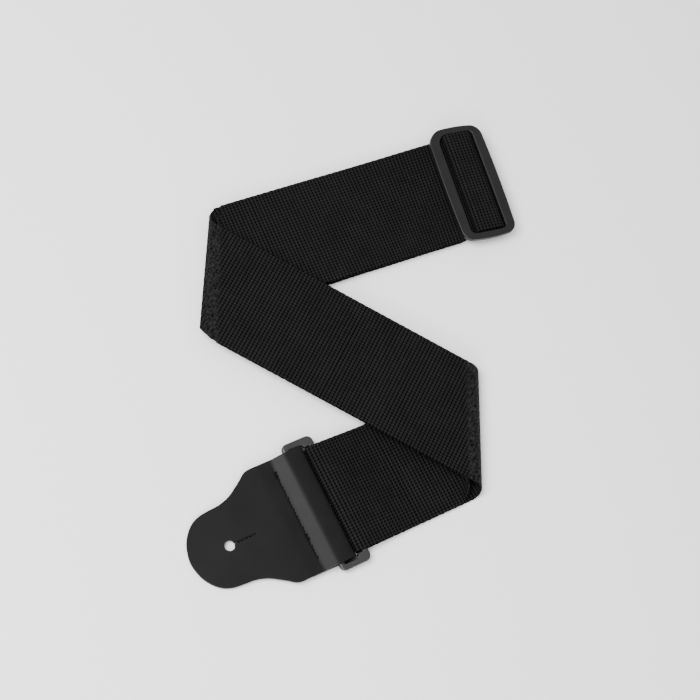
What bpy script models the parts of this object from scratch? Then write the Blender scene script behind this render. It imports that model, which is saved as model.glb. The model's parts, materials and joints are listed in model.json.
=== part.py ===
"""Wide adjustable guitar strap, laid down in a flat Z: metres, +Z up, origin under the middle of its bounding box.

One long webbing makes every run. It starts sewn round the slider's middle bar, runs to the ring, turns round the ring's
bar and comes back on top of itself, so that two layers lie in each leg of the Z. Then it climbs over the slider's
middle bar, drops through the far slot and goes back underneath as a single run that ends in the rear leather tab.
"""

import math

import bmesh
import bpy
from mathutils import Vector

# Webbing, leather and thread
WEB_WIDTH = 0.0762
WEB = 0.0014  # webbing thickness
LEATHER = 0.0020
THREAD = 0.0005
GAP = 0.0002  # air between pieces that lie on each other
PITCH = WEB + GAP
JOIN = 0.00015  # half the gap where two stretches of webbing meet

# The Z in plan: each leg's heading, and the two lines that the folds turn on, which run along Y
TOP_HEADING = math.radians(24.0)  # from the left fold to the slider
MIDDLE_HEADING = math.radians(-25.5)  # from the left fold to the right fold
LOWER_HEADING = math.radians(207.5)  # from the right fold to the front tab
LEFT_X, RIGHT_X = -0.10130, 0.07790
LEFT_Y = 0.03243  # where the middle leg's centre line meets the left fold line
RIGHT_Y = LEFT_Y + (RIGHT_X - LEFT_X) * math.tan(MIDDLE_HEADING)
LEFT_SHIFT, RIGHT_SHIFT = 0.0147, 0.0091  # how far the webbing moves along each fold line as it turns

# Heights of the layers' middle surfaces
LOWER_Z = (WEB / 2, WEB / 2 + PITCH)  # lower and upper layer of the lower leg
TOP_Z = (0.00565, 0.00565 + PITCH)
INNER_FOLD = 0.0012  # half the height of the left fold's inner bend
MIDDLE_Z = (TOP_Z[1] + 2 * INNER_FOLD, TOP_Z[1] + 2 * INNER_FOLD + PITCH)
LEFT_BULGE = (0.0060, 0.0020)  # how far the outer and the inner bend stand out from their fold lines
RIGHT_BULGE = (0.0050, 0.0034)
LEFT_INSET, RIGHT_INSET = 0.0040, 0.0066  # from the outer bend's fold line to the inner one's
BEND_STEPS = 12

# Slider: a frame with a thinner middle bar. "along" is along the strap and "across" is across it
SLIDER_AT = 0.2002  # from the left fold line to the slider's middle, along the top leg
SLIDER_HEADING = math.radians(18.2)
SLIDER_ALONG, SLIDER_ACROSS, SLIDER_THICK = 0.0408, 0.0862, 0.0040
SLIDER_CROWN, SLIDER_CORNER = 0.0010, 0.0070
WINDOW_ALONG, WINDOW_ACROSS = 0.0270, 0.0790
BAR_ALONG, BAR_THICK = 0.0110, 0.0024
SLOT_WEB = 0.0758  # the webbing draws in a little where it passes the slots
ANCHOR_Z = 0.00435  # the fixed end's layer in front of the slider
ANCHOR_TAIL_Z = 0.00275
FEED_Z = 0.00640  # the upper layer in front of the slider
SLIDER_Z = FEED_Z + WEB / 2 + GAP
BAR_TOP = SLIDER_Z + BAR_THICK
HUMP_Z = (BAR_TOP + GAP + WEB / 2, BAR_TOP + GAP + WEB / 2 + PITCH)
NEAR_SLOT = (0.0070, 0.0090)  # the two layers' distance from the slider's middle, inside the near slot
FAR_SLOT = (0.0090, 0.0124)  # and inside the far slot, where the upper layer comes down close to the frame
FAR_SLOPE = (0.0086, 0.0088)  # the heights where the two layers' slopes down to the far slot end
FEED_START, ANCHOR_START, ANCHOR_END = 0.026, 0.050, 0.045
ANCHOR_SEAM = 0.035
REAR_TURN = 0.0042
REAR_TURN_TOP = 0.0052

# Ring between the lower leg and the front tab
RING_ALONG, RING_ACROSS, RING_THICK = 0.0226, 0.0914, 0.0040
RING_BAR, RING_BEVEL = 0.0046, 0.0016
RING_WINDOW_ACROSS, RING_CORNER = 0.0840, 0.0040
RING_Z = 0.0045
RING_AT = 0.1037  # from the right fold line to the bar that holds the webbing, along the lower leg
BAR_SPACING = RING_ALONG - RING_BAR
LOOP_TOP = 0.0080
LOOP_RADIUS = (LOOP_TOP - LOWER_Z[0]) / 2
LOOP_RISE = 0.0300  # how far from the ring the upper layer starts to climb

# Leather tabs. Lengths are from the button hole, "back" is towards the strap
NOSE = 0.0274
FRONT_TAB_WIDTH, REAR_TAB_WIDTH = 0.0804, 0.0730
FRONT_TAB_FLARE = 0.0012  # how much further out the front tab's shoulder stands than the rear tab's, each side
HOLE_TO_BAR = 0.0605
POCKET_RADIUS = RING_Z - LEATHER / 2
POCKET_BACK = 0.0714
HOLE_RADIUS = 0.0036
SLIT_END, SLIT_HALF = 0.0187, 0.0005
SEAM_BACK = 0.0477
TAIL_BACK = 0.0410
TAIL_Z, MAIN_Z = 0.00205, 0.00420  # the tab's two layers where they are sewn together
REAR_HOLE_AT = 0.1648  # from the slider's middle, back along the top leg
REAR_TAB_BACK, REAR_WEB_BACK, REAR_SEAM_BACK = 0.0610, 0.0310, 0.0460
REAR_WEB_Z, REAR_TAB_Z = 0.00135, 0.00320
SEAM_HALF = 0.0318
NEEDLE = 0.0006
STITCHES = 12

WEBBING = ((0.012, 0.012, 0.013), 0.92)
HIDE = ((0.020, 0.020, 0.021), 0.55)
PLASTIC = ((0.030, 0.031, 0.033), 0.42)
SEWING = ((0.008, 0.008, 0.008), 0.75)


# ---------------------------------------------------------------- scene helpers


def clear_scene():
    for thing in list(bpy.data.objects):
        bpy.data.objects.remove(thing, do_unlink=True)


def collection(name):
    made = bpy.data.collections.new(name)
    bpy.context.scene.collection.children.link(made)
    return made


def material(name, finish):
    colour, roughness = finish
    made = bpy.data.materials.new(name + "_material")
    made.use_nodes = True
    shader = made.node_tree.nodes["Principled BSDF"]
    shader.inputs["Base Color"].default_value = (*colour, 1.0)
    shader.inputs["Roughness"].default_value = roughness
    return made


def add(name, data, finish, home):
    thing = bpy.data.objects.new(name, data)
    home.objects.link(thing)
    data.materials.clear()
    data.materials.append(material(name, finish))
    return thing


# ---------------------------------------------------------------- plan


class Leg:
    """A leg's own axes in plan. across is square to along, unless a heading for it is given."""

    def __init__(self, x, y, heading, bar_heading=None):
        self.origin = Vector((x, y, 0))
        self.along = Vector((math.cos(heading), math.sin(heading), 0))
        square = heading if bar_heading is None else bar_heading
        self.across = Vector((-math.sin(square), math.cos(square), 0))

    def at(self, along, across, z=0.0):
        return self.origin + self.along * along + self.across * across + Vector((0, 0, z))

    def meets(self, point, direction, across):
        """How far along the leg its edge at this distance across meets a line through point."""
        normal = Vector((-direction.y, direction.x, 0))
        start = self.at(0, across)
        return (point - start).dot(normal) / self.along.dot(normal)


FOLD = Vector((0, 1, 0))
TOP = Leg(LEFT_X, LEFT_Y + LEFT_SHIFT, TOP_HEADING)
MIDDLE = Leg(LEFT_X, LEFT_Y, MIDDLE_HEADING)
LOWER = Leg(RIGHT_X, RIGHT_Y - RIGHT_SHIFT, LOWER_HEADING)
SLIDER_MIDDLE = TOP.at(SLIDER_AT, 0)
SLIDER = Leg(SLIDER_MIDDLE.x, SLIDER_MIDDLE.y, SLIDER_HEADING)
THROUGH = Leg(SLIDER_MIDDLE.x, SLIDER_MIDDLE.y, TOP_HEADING, SLIDER_HEADING)  # the webbing, askew in the slider
REAR = Leg(SLIDER_MIDDLE.x, SLIDER_MIDDLE.y, TOP_HEADING + math.pi)


# ---------------------------------------------------------------- bent sheets


class Path:
    """A line of (along, z) corners, each rounded to its radius, read by the length travelled from its start."""

    def __init__(self, *corners, steps=5):
        self.points = [Vector(corners[0])]
        for before, here, after in zip(corners, corners[1:], corners[2:]):
            corner = Vector(here[:2])
            back = (Vector(before[:2]) - corner).normalized()
            ahead = (Vector(after[:2]) - corner).normalized()
            turn = math.pi - back.angle(ahead)
            reach = here[2] * math.tan(turn / 2)
            middle = (back + ahead).normalized()
            centre = corner + middle * math.hypot(reach, here[2])
            first, last = corner + back * reach - centre, corner + ahead * reach - centre
            count = max(1, math.ceil(steps * turn / (math.pi / 2)))
            for n in range(count + 1):
                self.points.append(centre + first.slerp(last, n / count).normalized() * here[2])
        self.points.append(Vector(corners[-1]))
        self.marks = [0.0]
        for a, b in zip(self.points, self.points[1:]):
            self.marks.append(self.marks[-1] + (b - a).length)
        self.length = self.marks[-1]

    def side(self, n):
        ahead = (self.points[n + 1] - self.points[n]).normalized()
        return Vector((-ahead.y, ahead.x))

    def at(self, travelled, height):
        """The place at this height off the line. At a corner it lies on the mitre of the two pieces."""
        last = len(self.points) - 2
        n = next((n for n in range(last) if travelled < self.marks[n + 1] - 1e-7), last)
        a, b = self.points[n], self.points[n + 1]
        place = a + (b - a) * ((travelled - self.marks[n]) / (b - a).length)
        normal = self.side(n)
        if n > 0 and abs(travelled - self.marks[n]) < 1e-7:
            mitre = (normal + self.side(n - 1)).normalized()
            normal = mitre / mitre.dot(normal)
        return place + normal * height

    def travelled(self, along, last=False):
        """The length travelled where the line first, or last, passes this far along."""
        found = []
        for n, (a, b) in enumerate(zip(self.points, self.points[1:])):
            if abs(b.x - a.x) > 1e-9 and 0 <= (along - a.x) / (b.x - a.x) <= 1:
                found.append(self.marks[n] + (b - a).length * (along - a.x) / (b.x - a.x))
        return found[-1 if last else 0]


def plate(name, outlines, thickness):
    """A flat plate from closed outlines, centred on z = 0. The first is its edge and the others are holes."""
    curve = bpy.data.curves.new(name + "_outline", "CURVE")
    curve.dimensions, curve.fill_mode, curve.extrude = "2D", "BOTH", thickness / 2
    for outline in outlines:
        spline = curve.splines.new("POLY")
        spline.points.add(len(outline) - 1)
        for point, (x, y) in zip(spline.points, outline):
            point.co = (x, y, 0, 1)
        spline.use_cyclic_u = True
    thing = bpy.data.objects.new(name + "_outline", curve)
    mesh = bpy.data.meshes.new_from_object(thing)
    bpy.data.objects.remove(thing)
    edit = bmesh.new()
    edit.from_mesh(mesh)
    bmesh.ops.remove_doubles(edit, verts=edit.verts, dist=1e-6)
    bmesh.ops.dissolve_limit(edit, angle_limit=math.radians(0.05), verts=edit.verts, edges=edit.edges)
    bmesh.ops.recalc_face_normals(edit, faces=edit.faces)
    edit.to_mesh(mesh)
    edit.free()
    return mesh


def bent_sheet(name, outlines, thickness, path, leg, finish, home):
    """A flat pattern, x the length travelled and y across, bent along a path that stands on a leg."""
    mesh = plate(name, outlines, thickness)
    edit = bmesh.new()
    edit.from_mesh(mesh)
    for mark in path.marks[1:-1]:
        everything = list(edit.verts) + list(edit.edges) + list(edit.faces)
        bmesh.ops.bisect_plane(edit, geom=everything, dist=1e-7, plane_co=(mark, 0, 0), plane_no=(1, 0, 0))
    for vertex in edit.verts:
        travelled, across, height = vertex.co
        place = path.at(travelled, height)
        vertex.co = leg.at(place.x, across, place.y)
    bmesh.ops.dissolve_limit(edit, angle_limit=math.radians(0.05), verts=edit.verts, edges=edit.edges)
    bmesh.ops.triangulate(edit, faces=[f for f in edit.faces if len(f.verts) > 4])
    bmesh.ops.recalc_face_normals(edit, faces=edit.faces)
    edit.to_mesh(mesh)
    edit.free()
    return add(name, mesh, finish, home)


def ribbon(name, rows, home):
    """Webbing about the surface through rows of two points, its right edge and its left edge."""
    edit = bmesh.new()
    previous = None
    for row in rows:
        current = [edit.verts.new(point) for point in row]
        if previous:
            edit.faces.new((previous[0], current[0], current[1], previous[1]))
        previous = current
    mesh = bpy.data.meshes.new(name)
    edit.to_mesh(mesh)
    edit.free()
    thing = add(name, mesh, WEBBING, home)
    solid = thing.modifiers.new("thickness", "SOLIDIFY")
    solid.thickness, solid.offset, solid.use_even_offset = WEB, 0.0, True
    return thing


def fold_row(leg, x, z):
    """The right and left ends of a leg's webbing on a line along Y."""
    return [leg.at(leg.meets(Vector((x, 0, 0)), FOLD, side * WEB_WIDTH / 2), side * WEB_WIDTH / 2, z) for side in (-1, 1)]


def fold_bend(name, first, first_z, second, second_z, x, bulge, way, home):
    """The turn of one layer from one leg to another. way is -1 where the bend stands out towards -X."""
    start, end = fold_row(first, x, first_z), fold_row(second, x, second_z)
    end = sorted(end, key=lambda p: p.y)
    start = sorted(start, key=lambda p: p.y)
    rows = []
    for n in range(BEND_STEPS + 1):
        turn = math.pi * n / BEND_STEPS
        share = (1 - math.cos(turn)) / 2
        out = way * (JOIN + bulge * math.sin(turn))
        rows.append([start[k].lerp(end[k], share) + Vector((out, 0, 0)) for k in (0, 1)])
    ribbon(name, rows, home)


def slider_row(u, z, width=WEB_WIDTH):
    half = width / 2 / math.cos(TOP_HEADING - SLIDER_HEADING)
    return [THROUGH.at(u, side * half, z) for side in (-1, 1)]


# ---------------------------------------------------------------- outlines


def arc(x, y, radius, start, end, steps):
    turns = [start + (end - start) * n / steps for n in range(steps + 1)]
    return [(x + radius * math.cos(a), y + radius * math.sin(a)) for a in turns]


def frame_outline(along, across, radius, crown=0.0):
    """A rectangle with round corners, whose sides bow out by crown."""
    points = []
    for n, (sx, sy) in enumerate(((1, 1), (-1, 1), (-1, -1), (1, -1))):
        start = n * math.pi / 2
        points += arc(sx * (along / 2 - radius), sy * (across / 2 - radius), radius, start, start + math.pi / 2, 5)
    if crown:
        a, b = along / 2, across / 2
        middles = [[(a * t, b) for t in (0.4, 0, -0.4)], [(-a, b * t) for t in (0.5, 0, -0.5)]]
        middles += [[(a * t, -b) for t in (-0.4, 0, 0.4)], [(a, b * t) for t in (-0.5, 0, 0.5)]]
        points = sum((points[6 * n : 6 * n + 6] + middles[n] for n in range(4)), [])
    return [
        (px + crown * math.copysign(1 - (2 * py / across) ** 2, px) * (abs(px) > along / 2 - 1e-6),
         py + crown * math.copysign(1 - (2 * px / along) ** 2, py) * (abs(py) > across / 2 - 1e-6))
        for px, py in points
    ]


def nose_outline(half, flare=0.0):
    """A tab's outline from one straight side round its nose to the other: (forward of the hole, across)."""
    side = [(-0.0390, half), (-0.0320, half - 0.0006), (-0.0275, half - 0.0018 - flare / 4)]
    side += [(-0.0246, half - 0.0030 - flare * 0.6)]
    half -= flare
    side += [(-0.0200, half - 0.0058), (-0.0160, half - 0.0083), (-0.0117, half - 0.0103), (-0.0050, half - 0.0122)]
    side += [(0.0010, half - 0.0129), (0.0060, half - 0.0130), (0.0100, half - 0.0136), (0.0140, half - 0.0149)]
    side += [(0.0175, half - 0.0166), (0.0205, half - 0.0189), (0.0230, half - 0.0219), (0.0250, 0.0145)]
    side += [(0.0264, 0.0102), (0.0272, 0.0055)]
    return side + [(NOSE, 0.0)] + [(x, -y) for x, y in reversed(side)]


def button_slot():
    """The round hole with the slit that opens it towards the strap."""
    away = math.asin(SLIT_HALF / HOLE_RADIUS)
    rim = arc(0, 0, HOLE_RADIUS, math.pi + away, 3 * math.pi - away, 20)
    return rim + [(-SLIT_END, SLIT_HALF), (-SLIT_END, -SLIT_HALF)]


def seam_places(half=SEAM_HALF):
    return [-half + 2 * half * n / STITCHES for n in range(STITCHES + 1)]


def needle_holes(x):
    return [arc(x, y, NEEDLE, 0, math.pi * 5 / 3, 5) for y in seam_places()]


def thread(name, leg, along, above, below, home):
    """A running stitch across a leg, through the needle holes: over one gap and under the next."""
    places = seam_places()
    points = [(places[0], below)]
    for n, across in enumerate(places[:-1]):
        z = above if n % 2 == 0 else below
        points += [(across, z), (places[n + 1], z)]
    points.append((places[-1], below if points[-1][1] == above else above))
    points = [p for n, p in enumerate(points) if n == 0 or p != points[n - 1]]
    curve = bpy.data.curves.new(name, "CURVE")
    curve.dimensions, curve.bevel_depth, curve.bevel_resolution = "3D", THREAD / 2, 2
    curve.use_fill_caps = True
    spline = curve.splines.new("POLY")
    spline.points.add(len(points) - 1)
    for point, (across, z) in zip(spline.points, points):
        point.co = (*leg.at(along, across, z), 1)
    return add(name, curve, SEWING, home)


# ---------------------------------------------------------------- webbing


def build_lower_leg(home):
    lead = 0.021
    path = Path(
        (-lead, LOWER_Z[0]),
        (RING_AT + LOOP_RADIUS, LOWER_Z[0], LOOP_RADIUS - 0.00001),
        (RING_AT + LOOP_RADIUS, LOOP_TOP, LOOP_RADIUS - 0.00001),
        (RING_AT - 0.0040, LOOP_TOP, 0.010),
        (RING_AT - LOOP_RISE - 0.0060, LOWER_Z[1], 0.030),
        (-lead, LOWER_Z[1]),
    )
    half = WEB_WIDTH / 2
    line, inner = Vector((RIGHT_X - JOIN, 0, 0)), Vector((RIGHT_X - RIGHT_INSET - JOIN, 0, 0))
    start = [LOWER.meets(line, FOLD, side * half) + lead for side in (-1, 1)]
    end = [path.length - LOWER.meets(inner, FOLD, side * half) - lead for side in (-1, 1)]
    outline = [(start[0], -half), (end[0], -half), (end[1], half), (start[1], half)]
    bent_sheet("lower_run_webbing", [outline], WEB, path, LOWER, WEBBING, home)


def build_folds(home):
    inner_x = RIGHT_X - RIGHT_INSET
    fold_bend("right_bend_outer", LOWER, LOWER_Z[0], MIDDLE, MIDDLE_Z[1], RIGHT_X, RIGHT_BULGE[0], 1, home)
    fold_bend("right_bend_inner", LOWER, LOWER_Z[1], MIDDLE, MIDDLE_Z[0], inner_x, RIGHT_BULGE[1], 1, home)
    inner_x = LEFT_X + LEFT_INSET
    fold_bend("left_bend_outer", TOP, TOP_Z[0], MIDDLE, MIDDLE_Z[1], LEFT_X, LEFT_BULGE[0], -1, home)
    fold_bend("left_bend_inner", TOP, TOP_Z[1], MIDDLE, MIDDLE_Z[0], inner_x, LEFT_BULGE[1], -1, home)


def build_middle_leg(home):
    for name, z, left, right in (
        ("middle_run_upper", MIDDLE_Z[1], LEFT_X, RIGHT_X),
        ("middle_run_lower", MIDDLE_Z[0], LEFT_X + LEFT_INSET, RIGHT_X - RIGHT_INSET),
    ):
        ribbon(name, [fold_row(MIDDLE, left + JOIN, z), fold_row(MIDDLE, right - JOIN, z)], home)


def build_top_leg(home):
    """The two layers from the left fold to the slider, sinking a little towards it."""
    for name, start, z, end, end_z in (
        ("top_run_lower", LEFT_X, TOP_Z[0], ANCHOR_START, ANCHOR_Z),
        ("top_run_upper", LEFT_X + LEFT_INSET, TOP_Z[1], FEED_START, FEED_Z),
    ):
        rows = [fold_row(TOP, start + JOIN, z), slider_row(-0.105, z), slider_row(-0.060, end_z)]
        ribbon(name, rows + [slider_row(-end - JOIN, end_z)], home)


def build_slider_webbing(home):
    half = SLOT_WEB / 2
    feed = Path(
        (-FEED_START + JOIN, FEED_Z),
        (-NEAR_SLOT[1], FEED_Z, 0.0021),
        (-NEAR_SLOT[1], HUMP_Z[1], 0.0036),
        (0.0056, HUMP_Z[1], 0.0066),
        (FAR_SLOT[1], FAR_SLOPE[1], 0.0024),
        (FAR_SLOT[1], REAR_TURN_TOP + JOIN),
    )
    outline = [(0, -half), (feed.length, -half), (feed.length, half), (0, half)]
    bent_sheet("slider_feed_webbing", [outline], WEB, feed, THROUGH, WEBBING, home)
    anchor = Path(
        (-ANCHOR_START + JOIN, ANCHOR_Z),
        (-NEAR_SLOT[0], ANCHOR_Z, 0.0040),
        (-NEAR_SLOT[0], HUMP_Z[0], 0.0020),
        (0.0052, HUMP_Z[0], 0.0050),
        (FAR_SLOT[0], FAR_SLOPE[0], 0.0018),
        (FAR_SLOT[0], ANCHOR_TAIL_Z, 0.0025),
        (-ANCHOR_END, ANCHOR_TAIL_Z),
    )
    outline = [(0, -half), (anchor.length, -half), (anchor.length, half), (0, half)]
    holes = needle_holes(anchor.travelled(-ANCHOR_SEAM)) + needle_holes(anchor.travelled(-ANCHOR_SEAM, last=True))
    bent_sheet("slider_anchor_webbing", [outline] + holes, WEB, anchor, THROUGH, WEBBING, home)
    lift = WEB / 2 + THREAD / 2 + 0.00005
    thread("anchor_stitching", THROUGH, -ANCHOR_SEAM, ANCHOR_Z + lift, ANCHOR_TAIL_Z - lift, home)


def build_rear_run(home):
    far = FAR_SLOT[1]
    turn = Path((far, REAR_TURN_TOP - JOIN), (far, WEB / 2, REAR_TURN), (far - REAR_TURN - 0.0002, WEB / 2))
    half = SLOT_WEB / 2
    outline = [(0, -half), (turn.length, -half), (turn.length, half), (0, half)]
    bent_sheet("rear_bend", [outline], WEB, turn, THROUGH, WEBBING, home)
    end, seam = REAR_HOLE_AT - REAR_WEB_BACK, REAR_HOLE_AT - REAR_SEAM_BACK
    lead = 0.012
    path = Path((-lead, WEB / 2), (0.085, WEB / 2, 0.2), (0.100, REAR_WEB_Z, 0.2), (end, REAR_WEB_Z))
    cut = SLIDER.at(far - REAR_TURN - 0.0002 - 2 * JOIN, 0)
    start = [REAR.meets(cut, SLIDER.across, side * half) + lead for side in (-1, 1)]
    outline = [(start[0], -half), (path.length, -half), (path.length, half), (start[1], half)]
    holes = needle_holes(path.travelled(seam))
    bent_sheet("rear_run_webbing", [outline] + holes, WEB, path, REAR, WEBBING, home)


# ---------------------------------------------------------------- leather


def build_front_tab(home):
    hole = RING_AT + BAR_SPACING + HOLE_TO_BAR
    fold = hole - POCKET_BACK + LEATHER / 2
    path = Path(
        (hole - TAIL_BACK, TAIL_Z),
        (hole - 0.0525, TAIL_Z, 0.004),
        (hole - 0.0570, LEATHER / 2, 0.004),
        (fold, LEATHER / 2, POCKET_RADIUS - 0.00001),
        (fold, 2 * RING_Z - LEATHER / 2, POCKET_RADIUS - 0.00001),
        (hole - 0.0565, 2 * RING_Z - LEATHER / 2, 0.006),
        (hole - 0.0495, MAIN_Z, 0.006),
        (hole - 0.0400, MAIN_Z, 0.020),
        (hole + NOSE, LEATHER / 2),
    )
    half = FRONT_TAB_WIDTH / 2
    reach = path.travelled(hole, last=True)
    outline = [(0, half)] + [(x + reach, y) for x, y in nose_outline(half, FRONT_TAB_FLARE)] + [(0, -half)]
    slot = [(x + reach, y) for x, y in button_slot()]
    seam = hole - SEAM_BACK
    holes = needle_holes(path.travelled(seam)) + needle_holes(path.travelled(seam, last=True))
    bent_sheet("front_leather_tab", [outline, slot] + holes, LEATHER, path, LOWER, HIDE, home)
    lift = LEATHER / 2 + THREAD / 2 + 0.00005
    thread("front_tab_stitching", LOWER, seam, MAIN_Z + lift, TAIL_Z - lift, home)


def build_rear_tab(home):
    hole = REAR_HOLE_AT
    path = Path(
        (hole - REAR_TAB_BACK, REAR_TAB_Z),
        (hole - REAR_WEB_BACK + 0.003, REAR_TAB_Z, 0.030),
        (hole + NOSE, LEATHER / 2),
    )
    half = REAR_TAB_WIDTH / 2
    reach = path.travelled(hole)
    outline = [(0, half)] + [(x + reach, y) for x, y in nose_outline(half)] + [(0, -half)]
    slot = [(x + reach, y) for x, y in button_slot()]
    seam = hole - REAR_SEAM_BACK
    holes = needle_holes(path.travelled(seam))
    bent_sheet("rear_leather_tab", [outline, slot] + holes, LEATHER, path, REAR, HIDE, home)
    above = REAR_TAB_Z + LEATHER / 2 + THREAD / 2 + 0.00005
    thread("rear_tab_stitching", REAR, seam, above, REAR_WEB_Z - WEB / 2 - THREAD / 2 - 0.00005, home)


# ---------------------------------------------------------------- ring and slider


def build_ring(home):
    outer = frame_outline(RING_ALONG, RING_ACROSS, RING_CORNER)
    x, y = RING_ALONG / 2 - RING_BAR, RING_WINDOW_ACROSS / 2
    window = [(x, y), (-x, y), (-x, -y), (x, -y)]
    ring = add("tab_ring", plate("tab_ring", [outer, window], RING_THICK), PLASTIC, home)
    ring.location = LOWER.at(RING_AT + BAR_SPACING / 2, 0, RING_Z)
    ring.rotation_euler.z = LOWER_HEADING
    bevel = ring.modifiers.new("edges", "BEVEL")
    bevel.width, bevel.segments, bevel.limit_method, bevel.angle_limit = RING_BEVEL, 2, "ANGLE", math.radians(60)
    bevel.use_clamp_overlap = False


def build_slider(home, cutters):
    outer = frame_outline(SLIDER_ALONG, SLIDER_ACROSS, SLIDER_CORNER, SLIDER_CROWN)
    inner, outside, end = BAR_ALONG / 2, WINDOW_ALONG / 2, WINDOW_ACROSS / 2
    windows = []
    for way in (-1, 1):
        ends = (way * inner, end - 0.0002), (way * outside, end)
        windows.append([*ends, *((x, -y) for x, y in reversed(ends))])
    slider = add("triglide_slider", plate("triglide_slider", [outer] + windows, SLIDER_THICK), PLASTIC, home)
    slider.location = SLIDER.at(0, 0, SLIDER_Z + SLIDER_THICK / 2)
    slider.rotation_euler.z = SLIDER_HEADING
    # Clears the middle bar down to its own thickness, with round shoulders for the webbing
    top = BAR_THICK - SLIDER_THICK / 2
    side = BAR_ALONG / 2
    section = [(-side - 0.002, 0.006), (-side - 0.002, top - 0.0013), (-side - 0.0001, top - 0.0012)]
    section += [(-side + 0.0003, top - 0.0004), (-side + 0.0010, top)]
    section += [(-x, z) for x, z in reversed(section)]
    mesh = plate("bar_cutter", [section], WINDOW_ACROSS + 0.0030)
    cutter = bpy.data.objects.new("bar_cutter", mesh)
    cutters.objects.link(cutter)
    cutter.rotation_euler = (math.pi / 2, 0, SLIDER_HEADING)
    cutter.location = slider.location
    cutter.hide_render, cutter.display_type = True, "WIRE"
    slider.modifiers.new("flat_faces", "TRIANGULATE")
    cut = slider.modifiers.new("lower_bar", "BOOLEAN")
    cut.operation, cut.solver, cut.object = "DIFFERENCE", "EXACT", cutter
    slider.modifiers.new("weld", "WELD").merge_threshold = 0.00001
    bevel = slider.modifiers.new("edges", "BEVEL")
    bevel.width, bevel.segments, bevel.limit_method, bevel.angle_limit = 0.0006, 2, "ANGLE", math.radians(60)


def main():
    clear_scene()
    parts = collection("guitar_strap")
    cutters = collection("cutters")
    build_lower_leg(parts)
    build_folds(parts)
    build_middle_leg(parts)
    build_top_leg(parts)
    build_slider_webbing(parts)
    build_rear_run(parts)
    build_front_tab(parts)
    build_rear_tab(parts)
    build_ring(parts)
    build_slider(parts, cutters)


main()
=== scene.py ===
import json
import math

import bmesh
import bpy
import numpy as np
from mathutils import Matrix, Vector


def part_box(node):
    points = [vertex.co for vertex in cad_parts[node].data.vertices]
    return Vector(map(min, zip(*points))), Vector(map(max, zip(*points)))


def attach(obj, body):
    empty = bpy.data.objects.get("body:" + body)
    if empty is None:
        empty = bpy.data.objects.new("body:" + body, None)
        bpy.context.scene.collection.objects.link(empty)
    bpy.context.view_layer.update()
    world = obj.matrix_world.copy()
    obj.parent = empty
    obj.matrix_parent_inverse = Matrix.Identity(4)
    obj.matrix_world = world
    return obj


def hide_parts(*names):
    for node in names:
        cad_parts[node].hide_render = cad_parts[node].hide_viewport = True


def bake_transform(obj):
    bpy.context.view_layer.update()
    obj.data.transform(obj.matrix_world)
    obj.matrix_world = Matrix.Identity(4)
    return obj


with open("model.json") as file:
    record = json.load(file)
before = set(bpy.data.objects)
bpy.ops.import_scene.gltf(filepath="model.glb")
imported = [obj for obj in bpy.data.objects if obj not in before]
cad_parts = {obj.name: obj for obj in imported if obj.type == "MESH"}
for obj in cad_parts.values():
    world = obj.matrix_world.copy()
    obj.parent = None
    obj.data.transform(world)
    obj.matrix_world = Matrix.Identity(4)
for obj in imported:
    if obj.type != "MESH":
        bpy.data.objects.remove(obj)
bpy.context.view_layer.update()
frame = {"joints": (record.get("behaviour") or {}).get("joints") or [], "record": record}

MM = 0.001

# ---------------------------------------------------------------- the strap's plan, from the frame

joints = {j["name"]: j for j in frame["joints"]}
holes = {o["name"]: np.array(o["box_m"]).mean(axis=0) for o in frame["record"]["physics"]["openings"]}

WEB_WIDTH = 76.2 * MM
WEB = 1.4 * MM
PITCH = 1.6 * MM  # from one layer's middle to the next one's
LEATHER = 2.0 * MM
LEFT_SHIFT, RIGHT_SHIFT = 14.7 * MM, 9.1 * MM  # how far the webbing moves along each fold line as it turns
LEFT_INSET, RIGHT_INSET = 4.0 * MM, 6.6 * MM  # from the outer bend's fold line to the inner one's

LEFT_X, LEFT_MIDDLE_Y, _ = joints["left_fold"]["pos_m"]
RIGHT_X, RIGHT_Y, _ = joints["right_fold"]["pos_m"]
LEFT_Y = LEFT_MIDDLE_Y - LEFT_SHIFT / 2


class Leg:
    """A leg's own axes in plan, starting on a fold line or at a fitting."""

    def __init__(self, origin, heading, bar_heading=None):
        self.origin = np.array([origin[0], origin[1]])
        self.along = np.array([math.cos(heading), math.sin(heading)])
        square = heading if bar_heading is None else bar_heading
        self.across = np.array([-math.sin(square), math.cos(square)])

    def at(self, a, c, z):
        a, c, z = np.broadcast_arrays(a, c, z)
        x = self.origin[0] + self.along[0] * a + self.across[0] * c
        y = self.origin[1] + self.along[1] * a + self.across[1] * c
        return np.stack([x, y, z], axis=-1)

    def point(self, a, c=0.0, z=0.0):
        return Vector(self.at(a, c, z))

    def meets(self, x, c):
        """How far along the leg its line at this distance across meets a line along Y."""
        return (x - self.origin[0] - self.across[0] * c) / self.along[0]

    def reach(self, place):
        """How far along the leg a place is."""
        return float((np.array(place[:2]) - self.origin) @ self.along)


def heading_of(joint):
    axis = joints[joint]["axis"]
    return math.atan2(axis[1], axis[0])


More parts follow.
